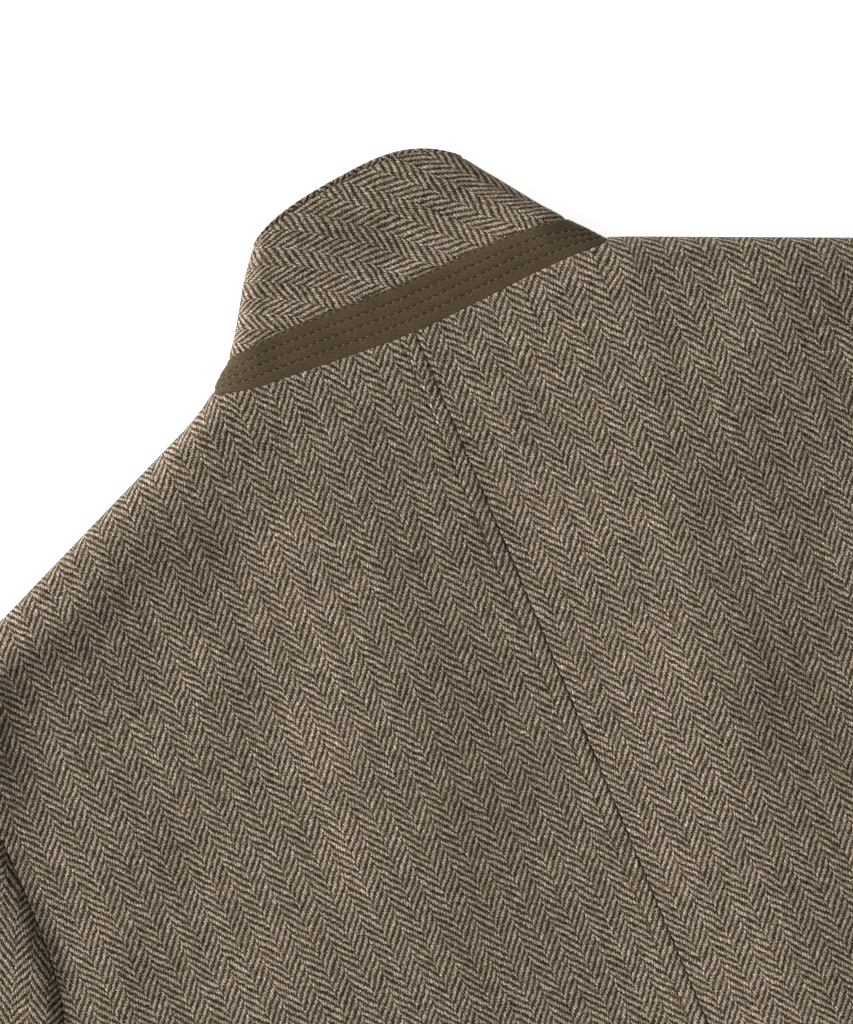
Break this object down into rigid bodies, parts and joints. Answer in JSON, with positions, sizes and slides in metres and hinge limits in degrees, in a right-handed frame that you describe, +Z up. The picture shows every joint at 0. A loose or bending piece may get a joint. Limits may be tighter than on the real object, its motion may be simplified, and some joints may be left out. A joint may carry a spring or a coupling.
{
  "type": "hunting jacket",
  "caption": "Herringbone tweed hunting jacket lying face down, collar turned up to show its bias-cut undercollar and stitched stand band.",
  "frame": {"origin": "on the floor, under the middle of the jacket's box", "axes": "+X across the jacket towards its right sleeve as seen from the back, +Y from the hem to the collar, +Z up out of the jacket's back"},
  "size_m": [1.04, 0.8324, 0.0209],
  "materials": {
    "tweed": "hairy brown and beige herringbone wool tweed",
    "olive_cloth": "matte olive-brown close felted cloth",
    "horn": "dark satin horn"
  },
  "bodies": {
    "root": {"back_left": "tweed", "front_left": "tweed", "upper_sleeve_left": "tweed", "under_sleeve_left": "tweed", "back_right": "tweed", "front_right": "tweed", "upper_sleeve_right": "tweed", "under_sleeve_right": "tweed", "undercollar": "tweed", "top_collar": "tweed", "collar_band": "olive_cloth", "button_1": "horn", "button_2": "horn", "button_3": "horn", "button_4": "horn"}
  },
  "joints": []
}
